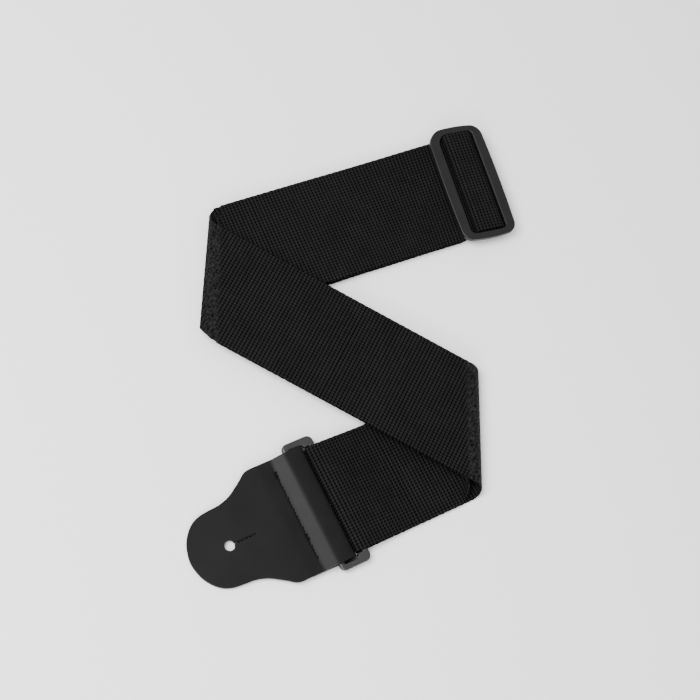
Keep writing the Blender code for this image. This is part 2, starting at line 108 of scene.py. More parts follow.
slider_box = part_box("triglide_slider")
SLIDER_XY = (slider_box[0] + slider_box[1]) / 2
TOP_HEADING = heading_of("slider_slide")
MIDDLE_HEADING = math.atan2(RIGHT_Y - LEFT_Y, RIGHT_X - LEFT_X)
LOWER_HEADING = heading_of("ring_swing") - math.pi / 2
SLIDER_HEADING = heading_of("rear_fold") + math.pi / 2
TOP = Leg((LEFT_X, LEFT_Y + LEFT_SHIFT), TOP_HEADING)
MIDDLE_LEFT = Leg((LEFT_X, LEFT_Y), MIDDLE_HEADING)
MIDDLE_RIGHT = Leg((RIGHT_X, RIGHT_Y), MIDDLE_HEADING + math.pi)
LOWER = Leg((RIGHT_X, RIGHT_Y - RIGHT_SHIFT), LOWER_HEADING)
SLIDER = Leg(SLIDER_XY, SLIDER_HEADING)
ASKEW = Leg(SLIDER_XY, TOP_HEADING, SLIDER_HEADING)  # along the top leg, but across the slider's way
REAR = Leg(SLIDER_XY, TOP_HEADING + math.pi)

SLIDER_AT = TOP.reach(SLIDER_XY)
RING_AT = LOWER.reach(joints["ring_swing"]["pos_m"])
TAB_BAR_AT = LOWER.reach(joints["front_tab_swing"]["pos_m"])
FRONT_HOLE_AT = LOWER.reach(holes["front_button_hole"])
REAR_HOLE_AT = REAR.reach(holes["rear_button_hole"])
MIDDLE_LENGTH = math.dist((LEFT_X, LEFT_Y), (RIGHT_X, RIGHT_Y))

RIGHT_CUT = 60 * MM  # where the lower leg's webbing is split, from the right fold line
LEFT_CUT = 42 * MM  # where the top leg's webbing is split, from the left fold line
MIDDLE_CUT = MIDDLE_LENGTH / 2


def middle_z(node):
    low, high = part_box(node)
    return (low.z + high.z) / 2


RING_Z = joints["ring_swing"]["pos_m"][2]
LOWER_Z = (WEB / 2, WEB / 2 + PITCH)
MIDDLE_Z = (middle_z("middle_run_lower"), middle_z("middle_run_upper"))
TOP_Z = (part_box("top_run_lower")[1].z - WEB / 2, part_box("top_run_upper")[1].z - WEB / 2)
ANCHOR_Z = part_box("top_run_lower")[0].z + WEB / 2
FEED_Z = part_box("top_run_upper")[0].z + WEB / 2
TAIL_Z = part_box("slider_anchor_webbing")[0].z + WEB / 2
HUMP_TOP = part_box("slider_feed_webbing")[1].z - WEB / 2
SLIDER_Z = slider_box[0].z
SLIDER_THICK = slider_box[1].z - slider_box[0].z
LOOP_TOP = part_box("lower_run_webbing")[1].z - WEB / 2


# ---------------------------------------------------------------- camera, light and floor

CAMERA_AWAY = (-0.211, -0.3729, 0.9036)  # the direction from what the camera looks at to the camera
CAMERA_DISTANCE = 1.1282
CAMERA_LENS = 85.76
FLOOR_HALF, FLOOR_DROP = 2.5, 0.3 * MM


def make_camera():
    away = Vector(CAMERA_AWAY).normalized()
    right = Vector((away.z, 0, -away.x)).normalized()
    up = away.cross(right)
    aim = Vector((LEFT_X + 96.5 * MM, LEFT_Y - 36.8 * MM, 0))
    data = bpy.data.cameras.new("camera")
    data.lens, data.sensor_width = CAMERA_LENS, 36.0
    data.clip_start, data.clip_end = 0.05, 20
    camera = bpy.data.objects.new("camera", data)
    bpy.context.scene.collection.objects.link(camera)
    turn = Matrix((right, up, away)).transposed()
    camera.matrix_world = Matrix.Translation(aim + away * CAMERA_DISTANCE) @ turn.to_4x4()
    bpy.context.scene.camera = camera


def area_light(name, place, size, power):
    data = bpy.data.lights.new(name, "AREA")
    data.shape, data.size, data.size_y, data.energy = "RECTANGLE", size[0], size[1], power
    light = bpy.data.objects.new(name, data)
    bpy.context.scene.collection.objects.link(light)
    light.location = place
    light.rotation_euler = (-Vector(place)).to_track_quat("-Z", "Y").to_euler()


def floor_paint():
    paint = bpy.data.materials.new("floor_paint")
    paint.use_nodes = True
    shader = paint.node_tree.nodes["Principled BSDF"]
    shader.inputs["Base Color"].default_value = (0.93, 0.93, 0.93, 1)
    shader.inputs["Roughness"].default_value = 0.9
    shader.inputs["Specular IOR Level"].default_value = 0.1
    return paint


def make_stage():
    world = bpy.data.worlds.new("studio")
    world.use_nodes = True
    background = world.node_tree.nodes["Background"]
    background.inputs["Color"].default_value = (1.0, 1.0, 1.0, 1)
    background.inputs["Strength"].default_value = 0.95
    bpy.context.scene.world = world
    area_light("key", (-0.72, -0.12, 1.20), (0.7, 0.8), 32.0)
    area_light("fill", (-0.5, -1.3, 0.9), (0.8, 0.6), 16.0)

    edit = bmesh.new()
    bmesh.ops.create_grid(edit, x_segments=8, y_segments=8, size=FLOOR_HALF)
    mesh = bpy.data.meshes.new("floor")
    edit.to_mesh(mesh)
    edit.free()
    mesh.materials.append(floor_paint())
    floor = bpy.data.objects.new("floor", mesh)
    floor.location.z = -FLOOR_DROP
    bpy.context.scene.collection.objects.link(floor)


# ---------------------------------------------------------------- materials


class Nodes:
    """A short way to wire a material's nodes."""

    def __init__(self, name):
        self.material = bpy.data.materials.new(name)
        self.material.use_nodes = True
        self.tree = self.material.node_tree
        self.shader = self.tree.nodes["Principled BSDF"]

    def add(self, kind, **settings):
        node = self.tree.nodes.new(kind)
        for key, value in settings.items():
            setattr(node, key, value)
        return node

    def wire(self, source, target):
        self.tree.links.new(source, target)

    def give(self, value, socket):
        """Sets a constant on the socket, or wires an output to it."""
        if isinstance(value, (int, float)):
            socket.default_value = value
        else:
            self.wire(value, socket)

    def math(self, operation, a, b=None):
        node = self.add("ShaderNodeMath", operation=operation)
        self.give(a, node.inputs[0])
        if b is not None:
            self.give(b, node.inputs[1])
        return node.outputs[0]

    def scaled(self, value, factor, lift):
        return self.math("ADD", self.math("MULTIPLY", value, factor), lift)

    def place(self):
        return self.add("ShaderNodeTexCoord").outputs["Object"]

    def noise(self, scale, detail=4.0, rough=0.55):
        node = self.add("ShaderNodeTexNoise")
        node.inputs["Scale"].default_value = scale
        node.inputs["Detail"].default_value = detail
        node.inputs["Roughness"].default_value = rough
        self.wire(self.place(), node.inputs["Vector"])
        return node.outputs["Fac"]

    def ramp(self, factor, *stops):
        node = self.add("ShaderNodeValToRGB")
        elements = node.color_ramp.elements
        while len(elements) < len(stops):
            elements.new(0.5)
        for element, (at, grey) in zip(elements, stops):
            colour = grey if isinstance(grey, tuple) else (grey, grey, grey)
            element.position, element.color = at, (*colour, 1)
        self.wire(factor, node.inputs["Fac"])
        return node.outputs["Color"]

    def bump(self, height, distance, strength=1.0, normal=None):
        node = self.add("ShaderNodeBump")
        node.inputs["Distance"].default_value = distance
        node.inputs["Strength"].default_value = strength
        self.wire(height, node.inputs["Height"])
        if normal:
            self.wire(normal, node.inputs["Normal"])
        return node.outputs["Normal"]

    def finish(self, colour, roughness, normal, specular):
        self.wire(colour, self.shader.inputs["Base Color"])
        self.wire(normal, self.shader.inputs["Normal"])
        self.give(roughness, self.shader.inputs["Roughness"])
        self.give(specular, self.shader.inputs["Specular IOR Level"])
        return self.material


def webbing_material():
    """Ribs across the webbing, each a row of yarn beads that slant a little. Where the webbing is pressed at
    a fold the ribs lie flat and a fine nap shows instead. The colour darkens with the bead height: painted
    shade in the pits and grooves between beads."""
    n = Nodes("webbing")
    weave, press = n.add("ShaderNodeSeparateXYZ"), n.add("ShaderNodeSeparateXYZ")
    n.wire(n.add("ShaderNodeUVMap", uv_map="weave").outputs["UV"], weave.inputs[0])
    n.wire(n.add("ShaderNodeUVMap", uv_map="press").outputs["UV"], press.inputs[0])
    pressed = press.outputs[0]
    across, rib = weave.outputs[0], weave.outputs[1]

    def wave(phase):
        return n.math("ABSOLUTE", n.math("SINE", n.math("MULTIPLY", phase, math.pi)))

    straight = n.scaled(wave(across), 0.45, 0.15)
    slanting = n.math("MULTIPLY", wave(n.math("ADD", across, rib)), 0.40)
    height = n.math("MULTIPLY", n.math("ADD", straight, slanting), n.math("POWER", wave(rib), 0.4))
    height = n.math("MULTIPLY", height, n.scaled(pressed, -0.75, 1.0))
    height = n.math("ADD", height, n.math("MULTIPLY", pressed, 0.58))
    nap = n.math("MULTIPLY", n.math("SUBTRACT", n.noise(800.0, 2.0), 0.5), 2.09)
    height = n.math("ADD", height, n.math("MULTIPLY", nap, pressed))
    fibre = n.noise(900.0, 5.0, 0.7)
    # The colour follows the bead height, so the pits and grooves between beads get painted shade that the
    # bump can't cast; pressed parts, having no pits, keep the lighter crest tone.
    tone = n.math("ADD", n.math("MULTIPLY", height, 0.78), n.math("MULTIPLY", fibre, 0.22))
    tone = n.math("MULTIPLY", tone, n.scaled(n.noise(60.0, 3.0), 0.4, 0.8))
    tone = n.math("MULTIPLY", tone, n.scaled(n.noise(260.0, 3.0), 0.5, 0.75))
    # The ramp's near-black end is the painted shade of the pits, its light end the bead crests.
    colour = n.ramp(tone, (0.10, 0.0002), (0.45, 0.0031), (0.85, 0.0102))
    specular = n.math("MULTIPLY", n.math("POWER", height, 2.0), 0.16)
    normal = n.bump(fibre, 0.12 * MM, 0.6, n.bump(height, 0.7 * MM))
    return n.finish(colour, 0.62, normal, specular)


def leather_material():
    """Smooth leather with a fine grain and slow changes of tone and polish."""
    n = Nodes("leather")
    grain = n.add("ShaderNodeTexVoronoi", feature="SMOOTH_F1")
    grain.inputs["Scale"].default_value = 1500.0
    grain.inputs["Smoothness"].default_value = 0.6
    n.wire(n.place(), grain.inputs["Vector"])
    cloud = n.noise(38.0, 4.0)
    colour = n.ramp(cloud, (0.30, (0.0030, 0.0030, 0.0031)), (0.70, (0.0046, 0.0046, 0.0048)))
    height = n.math("ADD", grain.outputs["Distance"], n.math("MULTIPLY", n.noise(2600.0, 3.0), 0.4))
    return n.finish(colour, n.scaled(cloud, 0.14, 0.40), n.bump(height, 0.05 * MM, 0.35), 0.13)


def plastic_material(name, lift, shine):
    """Fine-textured nylon with a few scuffs. lift is its base grey."""
    n = Nodes(name)
    cloud = n.noise(70.0, 3.0)
    scuff = n.math("GREATER_THAN", n.noise(420.0, 6.0, 0.75), 0.66)
    colour = n.ramp(cloud, (0.3, lift * 0.75), (0.7, (lift, lift * 1.03, lift * 1.06)))
    roughness = n.math("ADD", n.scaled(cloud, 0.12, 0.32), n.math("MULTIPLY", scuff, 0.05))
    return n.finish(colour, roughness, n.bump(n.noise(2400.0, 2.0), 0.04 * MM, 0.5), shine)


def thread_material():
    """Twisted thread."""
    n = Nodes("thread")
    twist = n.add("ShaderNodeTexWave", wave_type="BANDS", bands_direction="DIAGONAL")
    twist.inputs["Scale"].default_value = 900.0
    twist.inputs["Distortion"].default_value = 1.5
    n.wire(n.place(), twist.inputs["Vector"])
    colour = n.ramp(twist.outputs["Fac"], (0.2, 0.0006), (0.8, 0.0022))
    return n.finish(colour, 0.6, n.bump(twist.outputs["Fac"], 0.1 * MM, 0.6), 0.08)


WEBBING, HIDE, SEWING = webbing_material(), leather_material(), thread_material()
SLIDER_PLASTIC = plastic_material("slider_plastic", 0.0072, 0.26)
# The ring's grey, twice the slider's, is painted light: the same black plastic made lighter to stand for the
# bright highlights the ring catches.
RING_PLASTIC_PAINTED_LIGHTER = plastic_material("ring_plastic", 0.0140, 0.45)


# ---------------------------------------------------------------- lines and curves


def smooth(x):
    x = np.clip(x, 0, 1)
    return x * x * (3 - 2 * x)


def travelled_along(line):
    """The distance along a line at each of its points."""
    return np.concatenate([[0], np.cumsum(np.linalg.norm(np.diff(line, axis=0), axis=1))])


def rounded_line(*corners, steps=14):
    """Dense points through (along, z) corners, each turned on its radius, and how far along they are."""
    points = [Vector(corners[0])]
    for before, here, after in zip(corners, corners[1:], corners[2:]):
        corner, radius = Vector(here[:2]), here[2]
        back = (Vector(before[:2]) - corner).normalized()
        ahead = (Vector(after[:2]) - corner).normalized()
        turn = math.pi - back.angle(ahead)
        reach = radius * math.tan(turn / 2)
        centre = corner + (back + ahead).normalized() * math.hypot(reach, radius)
        first, last = corner + back * reach - centre, corner + ahead * reach - centre
        count = max(2, math.ceil(steps * turn / (math.pi / 2)))
        points += [centre + first.slerp(last, n / count).normalized() * radius for n in range(count + 1)]
    points.append(Vector(corners[-1]))
    line = np.array([tuple(p) for p in points])
    return line, travelled_along(line)


def curve_through(points, steps):
    """A smooth curve through all of the points but the first and last, which only set the directions at its
    ends."""
    points = np.array(points)
    t = np.arange(steps)[:, None] / steps
    curve = []
    for before, here, there, after in zip(points, points[1:], points[2:], points[3:]):
        leave, arrive = (there - before) / 2, (after - here) / 2
        bend = here * (2 * t**3 - 3 * t**2 + 1) + leave * (t**3 - 2 * t**2 + t)
        curve += [*(bend + there * (3 * t**2 - 2 * t**3) + arrive * (t**3 - t**2))]
    return curve


def arc(x, y, radius, start, end, steps):
    turns = [start + (end - start) * n / steps for n in range(steps + 1)]
    return [(x + radius * math.cos(a), y + radius * math.sin(a)) for a in turns]


# ---------------------------------------------------------------- objects


def link(name, data, material):
    thing = bpy.data.objects.new(name, data)
    bpy.context.scene.collection.objects.link(thing)
    data.materials.append(material)
    return thing


def put(thing, place, heading):
    """Moves the mesh rather than the object, so that its box stays true."""
    thing.data.transform(Matrix.Translation(place) @ Matrix.Rotation(heading, 4, "Z"))


def round_edges(thing, width, segments, angle, clamp=True):
    bevel = thing.modifiers.new("edges", "BEVEL")
    bevel.width, bevel.segments = width, segments
    bevel.use_clamp_overlap = clamp
    bevel.limit_method, bevel.angle_limit = "ANGLE", math.radians(angle)
    thing.data.shade_smooth()
    thing.data.set_sharp_from_angle(angle=math.radians(angle - 8))


# ---------------------------------------------------------------- webbing

RIB, BEAD = 2.5 * MM, 2.1 * MM  # from one rib to the next, and from one bead of a rib to the next
ROWS_PER_RIB = 6
EDGE = 1.1 * MM  # how far in from the selvedge the webbing thins
EDGE_COLUMNS = np.array([1.1, 0.7, 0.35, 0.12, 0.0]) * MM  # from the selvedge, where columns lie closer
INNER_COLUMNS, INNER_EDGE = 37, 1.6 * MM  # evenly spaced, up to this far from the selvedge
SCALLOP, SWELL = 4.9 * MM, 0.22 * MM  # length and height of the small waves of the selvedge
DRAWN_IN, DRAWN_REACH = 0.15 * MM, 6 * MM  # how far the selvedge is drawn in, and over what width
GROOVE_HALF, RIB_RISE = 0.45 * MM, 0.23 * MM  # half the thickness in a groove, and what a rib adds to it
END_HALF = 0.30 * MM  # half the thickness at a piece's two ends
PRESSED, PRESS_FADE = 2.5 * MM, 3.5 * MM  # from a fold line, where the ribs are flat and then rise again
TAPER_REACH = 40 * MM  # from the middle of a turn, where its taper is complete
SLOPE_BEFORE, SLOPE = 115 * MM, 60 * MM  # where the top leg starts down to the slider, and for how long
SETTLE_FROM, SETTLE = -21 * MM, 11 * MM  # where the webbing takes up the slider's heading, and over how far
SLIDER_WEB_HALF = 38.8 * MM  # half the width of the webbing at the slider
HAIR = 0.01 * MM  # taken off the radius of two arcs that would otherwise touch


def band_faces(rows, cols):
    """The faces of a closed band: its top, its underside and the four strips between them."""
    low = rows * cols
    i, j = np.meshgrid(np.arange(rows - 1), np.arange(cols - 1), indexing="ij")
    a = (i * cols + j).ravel()
    upper = np.stack([a, a + cols, a + cols + 1, a + 1], axis=1)
    k = np.arange(rows - 1) * cols
    right = np.stack([k, k + low, k + cols + low, k + cols], axis=1)
    k = k + cols - 1
    left = np.stack([k, k + cols, k + cols + low, k + low], axis=1)
    k = np.arange(cols - 1)
    first = np.stack([k, k + 1, k + 1 + low, k + low], axis=1)
    k = k + (rows - 1) * cols
    last = np.stack([k, k + low, k + 1 + low, k + 1], axis=1)
    return np.concatenate([upper, upper[:, ::-1] + low, right, left, first, last])


def webbing(name, place, start, end, replaced, squeeze=None, lean=1):
    """A closed ribbed band that starts and ends in a groove between ribs. place(s, c) gives its middle
    surface, s along the webbing and c across it. squeeze(points) is 1 where the ribs are pressed flat, as at
    a fold, and lean is the way the beads slant."""
    ribs = max(1, round((end - start) / RIB))
    s = np.linspace(start, end, ribs * ROWS_PER_RIB + 1)
    phase = (s - start) / (end - start) * ribs
    half = WEB_WIDTH / 2
    inner = np.linspace(INNER_EDGE - half, half - INNER_EDGE, INNER_COLUMNS)
    columns = np.sort(np.concatenate([EDGE_COLUMNS - half, inner, half - EDGE_COLUMNS]))
    swell = SWELL * (np.abs(np.sin(np.pi * s / SCALLOP)) - 0.6)
    near_edge = smooth((np.abs(columns) - half + DRAWN_REACH) / DRAWN_REACH)
    c = columns * (1 + swell[:, None] / half * near_edge) - np.sign(columns) * DRAWN_IN * near_edge
    middle = place(s[:, None] + 0 * c, c)
    normal = np.cross(np.gradient(middle, s, axis=0), np.gradient(middle, axis=1))
    normal /= np.linalg.norm(normal, axis=2, keepdims=True)
    rib = np.abs(np.sin(np.pi * phase)) ** 0.6
    flat = squeeze(middle) if squeeze is not None else 0 * c
    outward = ((np.abs(columns) - (half - EDGE)) / EDGE).clip(0, 0.97)
    taper = np.sqrt(1 - outward**2)
    height = (GROOVE_HALF + RIB_RISE * (rib[:, None] * (1 - 0.6 * flat) + 0.4 * flat)) * taper
    height[0] = height[-1] = END_HALF * taper
    top = middle + normal * height[..., None]
    bottom = middle - normal * height[..., None]
    rows, cols = c.shape
    verts = np.concatenate([top.reshape(-1, 3), bottom.reshape(-1, 3)])
    mesh = bpy.data.meshes.new(name)
    mesh.from_pydata(verts.tolist(), [], band_faces(rows, cols).tolist())
    index = np.zeros(len(mesh.loops), int)
    mesh.loops.foreach_get("vertex_index", index)
    weave = c / BEAD, lean * phase[:, None]
    for layer_name, pair in (("weave", weave), ("press", (flat, flat))):
        values = np.stack(np.broadcast_arrays(*pair), axis=-1).reshape(-1, 2)
        values = np.concatenate([values, values])
        mesh.uv_layers.new(name=layer_name).data.foreach_set("uv", values[index].ravel())
    mesh.update()
    mesh.shade_smooth()
    edit = bmesh.new()
    edit.from_mesh(mesh)
    bmesh.ops.recalc_face_normals(edit, faces=edit.faces)
    edit.to_mesh(mesh)
    edit.free()
    thing = link(name, mesh, WEBBING)
    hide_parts(*replaced)
    return thing, float(travelled_along(middle[:, cols // 2])[-1])


def level(z):
    return lambda a: z + 0 * a


def fold_surface(under, over, x, way, bulge, taper, under_z, over_z):
    """The middle surface of a layer that comes along one leg, turns on a line along Y and leaves on another.
    s is 0 in the middle of the turn, negative on the lower leg. The turn bulges less towards +Y by taper."""
    under_0, over_0 = under.meets(x, 0), over.meets(x, 0)
    low, high = float(under_z(under_0)), float(over_z(over_0))
    angle = np.linspace(0, np.pi, 181)
    run = travelled_along(np.stack([bulge * np.sin(angle), (high - low) / 2 * (1 - np.cos(angle))], axis=1))
    under_y, over_y = under.at(under_0, 0, 0)[1], over.at(over_0, 0, 0)[1]
    turn = math.hypot(run[-1], over_y - under_y)
    middle_y = (over_y + under_y) / 2

    def place(s, c):
        enter = under_0 - turn / 2 - under.meets(x, c)
        leave = over.meets(x, c) - over_0 + turn / 2
        a_under = under_0 - turn / 2 - s
        a_over = over_0 + s - turn / 2
        on_under = under.at(a_under, c, under_z(a_under))
        on_over = over.at(a_over, c, over_z(a_over))
        share = np.clip((s - enter) / (leave - enter), 0, 1)
        theta = np.interp(share * run[-1], run, angle)
        y_in = under.at(under.meets(x, c), c, 0)[..., 1]
        y_out = over.at(over.meets(x, c), c, 0)[..., 1]
        y = y_in + (y_out - y_in) * share
        out = way * bulge * np.sin(theta) * (1 - taper * np.clip((y - middle_y) / TAPER_REACH, -1, 1))
        z = low + (high - low) / 2 * (1 - np.cos(theta))
        layer = np.stack([x + out, y, z], axis=-1)
        layer = np.where((s < enter)[..., None], on_under, layer)
        return np.where((s > leave)[..., None], on_over, layer)

    return place, turn, under_0, over_0


def fold_piece(name, under, over, x, way, bulge, taper, under_z, over_z, under_end, over_end, replaced):
    place, turn, under_0, over_0 = fold_surface(under, over, x, way, bulge, taper, under_z, over_z)
    low, high = float(under_z(under_0)), float(over_z(over_0))
    start = under_0 - turn / 2 - under_end
    end = over_end - over_0 + turn / 2

    def squeeze(points):
        above = smooth((points[..., 2] - low) / (high - low))
        return smooth(1 - (np.abs(points[..., 0] - x) - PRESSED) / PRESS_FADE) * above

    return webbing(name, place, start, end, replaced, squeeze)


def line_surface(leg, line, travelled, across_start=None, half_end=None, turn_from=None, turn_to=None):
    """The middle surface of a layer that follows a line standing on a leg. The ribs can turn from one
    direction to another between two places along the leg."""

    def place(s, c):
        a = np.interp(s, travelled, line[:, 0])
        z = np.interp(s, travelled, line[:, 1])
        if across_start is None:
            return leg.at(a, c, z)
        share = smooth((a - turn_from) / (turn_to - turn_from))
        narrow = 1 - (1 - half_end / (WEB_WIDTH / 2)) * share
        direction = across_start * (1 - share[..., None]) + leg.across * share[..., None]
        settled = smooth((a - SETTLE_FROM) / SETTLE)[..., None]
        onward = leg.along * (1 - settled) + SLIDER.along * settled
        flat = leg.origin + onward * a[..., None] + direction * (c * narrow)[..., None]
        return np.concatenate([flat, z[..., None]], axis=-1)

    return place


def top_z(layer):
    """The height of a layer of the top leg, by distance from the left fold line."""
    high, low = TOP_Z[layer], (ANCHOR_Z, FEED_Z)[layer]
    return lambda a: high + (low - high) * smooth((a - (SLIDER_AT - SLOPE_BEFORE)) / SLOPE)


def make_folds():
    for name, layer, x, bulge, replaced in (
        ("webbing_right_fold_outer", 0, RIGHT_X, 5.0 * MM, ["right_bend_outer"]),
        ("webbing_right_fold_inner", 1, RIGHT_X - RIGHT_INSET, 3.4 * MM, ["right_bend_inner"]),
    ):
        over = level(MIDDLE_Z[1 - layer])
        thing, length = fold_piece(
            name, LOWER, MIDDLE_RIGHT, x, 1, bulge, 0, level(LOWER_Z[layer]), over, RIGHT_CUT, MIDDLE_CUT,
            replaced + [("middle_run_upper", "middle_run_lower")[layer]],
        )
        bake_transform(thing)
    for name, layer, x, bulge, replaced in (
        ("webbing_left_fold_outer", 0, LEFT_X, 4.9 * MM, ["left_bend_outer"]),
        ("webbing_left_fold_inner", 1, LEFT_X + LEFT_INSET, 2.0 * MM, ["left_bend_inner"]),
    ):
        over = level(MIDDLE_Z[1 - layer])
        thing, length = fold_piece(
            name, TOP, MIDDLE_LEFT, x, -1, bulge, 0.38, top_z(layer), over, LEFT_CUT, MIDDLE_CUT,
            replaced + [("middle_run_upper", "middle_run_lower")[layer]],
        )
        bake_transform(thing)


def make_ring_loop():
    radius = (LOOP_TOP - LOWER_Z[0]) / 2
    turn_x = RING_AT + radius + 1.9 * MM
    line, travelled = rounded_line(
        (RIGHT_CUT, LOWER_Z[0]),
        (turn_x, LOWER_Z[0], radius - HAIR),
        (turn_x, LOOP_TOP, radius - HAIR),
        (RING_AT - 4 * MM, LOOP_TOP, 14 * MM),
        (RING_AT - 36 * MM, LOWER_Z[1], 60 * MM),
        (RIGHT_CUT, LOWER_Z[1]),
    )
    place = line_surface(LOWER, line, travelled)
    thing, length = webbing("webbing_ring_loop", place, 0, travelled[-1], ["lower_run_webbing"])
    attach(thing, "lower_run")


def make_slider_webbing():
    start = LEFT_CUT - SLIDER_AT
    hump = HUMP_TOP - PITCH
    turned = dict(across_start=TOP.across, half_end=SLIDER_WEB_HALF, turn_from=-95 * MM, turn_to=-26 * MM)
    line, travelled = rounded_line(
        (start, TOP_Z[1]),
        (-112 * MM, TOP_Z[1], 400 * MM),
        (-58 * MM, FEED_Z, 400 * MM),
        (-9.0 * MM, FEED_Z, 2.1 * MM),
        (-9.0 * MM, HUMP_TOP, 3.6 * MM),
        (8.4 * MM, HUMP_TOP, 5.0 * MM),
        (12.6 * MM, 9.6 * MM, 2.0 * MM),
        (12.6 * MM, 5.3 * MM),
    )
    place = line_surface(ASKEW, line, travelled, **turned)
    replaced = ["top_run_upper", "slider_feed_webbing"]
    feed, feed_length = webbing("webbing_feed", place, 0, travelled[-1], replaced, lean=-1)
    line, travelled = rounded_line(
        (start, TOP_Z[0]),
        (-112 * MM, TOP_Z[0], 400 * MM),
        (-58 * MM, ANCHOR_Z, 400 * MM),
        (-7.0 * MM, ANCHOR_Z, 4.0 * MM),
        (-7.0 * MM, hump, 2.0 * MM),
        (5.2 * MM, hump, 4.0 * MM),
        (9.0 * MM, 8.6 * MM, 1.8 * MM),
        (9.0 * MM, TAIL_Z, 2.5 * MM),
        (-45 * MM, TAIL_Z),
    )
    place = line_surface(ASKEW, line, travelled, **turned)
    replaced = ["top_run_lower", "slider_anchor_webbing"]
    anchor, anchor_length = webbing("webbing_anchor", place, 0, travelled[-1], replaced)
    line, travelled = rounded_line(
        (12.4 * MM, 5.1 * MM),
        (12.4 * MM, WEB / 2, 4.2 * MM),
        (-85 * MM, WEB / 2, 200 * MM),
        (-100 * MM, 1.35 * MM, 200 * MM),
        (-(REAR_HOLE_AT - 31 * MM), 1.35 * MM),
    )
    turned = dict(across_start=TOP.across, half_end=SLIDER_WEB_HALF, turn_from=-60 * MM, turn_to=0.0)
    place = line_surface(ASKEW, line, travelled, **turned)
    rear, rear_length = webbing("webbing_rear", place, 0, travelled[-1], ["rear_bend", "rear_run_webbing"])
    first, last = TOP.point(45 * MM, 0, TOP_Z[1]), TOP.point(178 * MM, 0, TOP_Z[1])
    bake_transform(feed)
    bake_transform(anchor)
    SLIDER.point(12.4 * MM, 0, 5.1 * MM)
    SLIDER.point(8.2 * MM, 0, WEB / 2)
    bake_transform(rear)


# ---------------------------------------------------------------- leather tabs and their seams

NOSE = 27.4 * MM  # from a tab's button hole to its tip
HOLE_RADIUS, SLIT_HALF, SLIT_END = 3.4 * MM, 0.22 * MM, 18.7 * MM
FRONT_HALF, REAR_HALF = 40.2 * MM, 36.5 * MM  # half a tab's width
FRONT_SEAM, REAR_SEAM = 47.7 * MM, 46.0 * MM  # from the hole back to the seam
FRONT_FOLD = 71.8 * MM  # from the hole back to the outside of the fold round the ring
SEAM_HALF, STITCHES = 31.8 * MM, 24


def plate(name, outlines, thickness):
    """A flat plate, its middle at height 0, with the first outline as its edge and the others as openings."""
    curve = bpy.data.curves.new(name + "_outline", "CURVE")
    curve.dimensions, curve.fill_mode, curve.extrude = "2D", "BOTH", thickness / 2
    for outline in outlines:
        spline = curve.splines.new("POLY")
        spline.points.add(len(outline) - 1)
        for point, (x, y) in zip(spline.points, outline):
            point.co = (x, y, 0, 1)
        spline.use_cyclic_u = True
    thing = bpy.data.objects.new(name + "_outline", curve)
    mesh = bpy.data.meshes.new_from_object(thing)
    bpy.data.objects.remove(thing)
    mesh.name = name
    edit = bmesh.new()
    edit.from_mesh(mesh)
    bmesh.ops.remove_doubles(edit, verts=edit.verts, dist=1e-6)
    bmesh.ops.dissolve_limit(edit, angle_limit=math.radians(0.05), verts=edit.verts, edges=edit.edges)
    bmesh.ops.recalc_face_normals(edit, faces=edit.faces)
    edit.to_mesh(mesh)
    edit.free()
    mesh.materials.clear()
    return mesh


def nose_outline(half, flare):
    """One side of a tab from its straight edge to its tip, in mm: (forward of the hole, across)."""
    waist = half - flare
    shape = [(-39.0, half), (-33.0, half), (-28.6, half - 1.0), (-24.2, waist - 3.3 + 0.3 * flare)]
    shape += [(-19.0, waist - 6.4), (-12.6, waist - 10.1), (-5.0, waist - 12.3), (3.0, waist - 12.9)]
    shape += [(9.4, waist - 13.7), (15.3, waist - 16.0), (20.3, waist - 20.3), (24.4, waist - 26.4)]
    shape += [(26.7, waist - 33.4), (NOSE / MM, 0), (26.7, 33.4 - waist)]
    return shape[:1] + curve_through(shape, 3)


def cut(edit, place, normal):
    everything = list(edit.verts) + list(edit.edges) + list(edit.faces)
    bmesh.ops.bisect_plane(edit, geom=everything, dist=1e-7, plane_co=place, plane_no=normal)


def bent(line, travelled, x):
    """The point this far along a line, and the direction square to it, mitred where two stretches meet."""
    n = int(np.searchsorted(travelled, x - 1e-9).clip(1, len(travelled) - 1))
    share = (x - travelled[n - 1]) / (travelled[n] - travelled[n - 1])

    def side_of(k):
        ahead = line[k] - line[k - 1]
        ahead = ahead / np.linalg.norm(ahead)
        return np.array([-ahead[1], ahead[0]])

    normal, beside = side_of(n), n
    if share > 1 - 1e-4:
        beside = n + 1
    elif share < 1e-4:
        beside = n - 1
    if beside != n and 1 <= beside < len(travelled):
        mitre = normal + side_of(beside)
        mitre /= np.linalg.norm(mitre)
        normal = mitre / float(mitre @ normal)
    return line[n - 1] + (line[n] - line[n - 1]) * share, normal


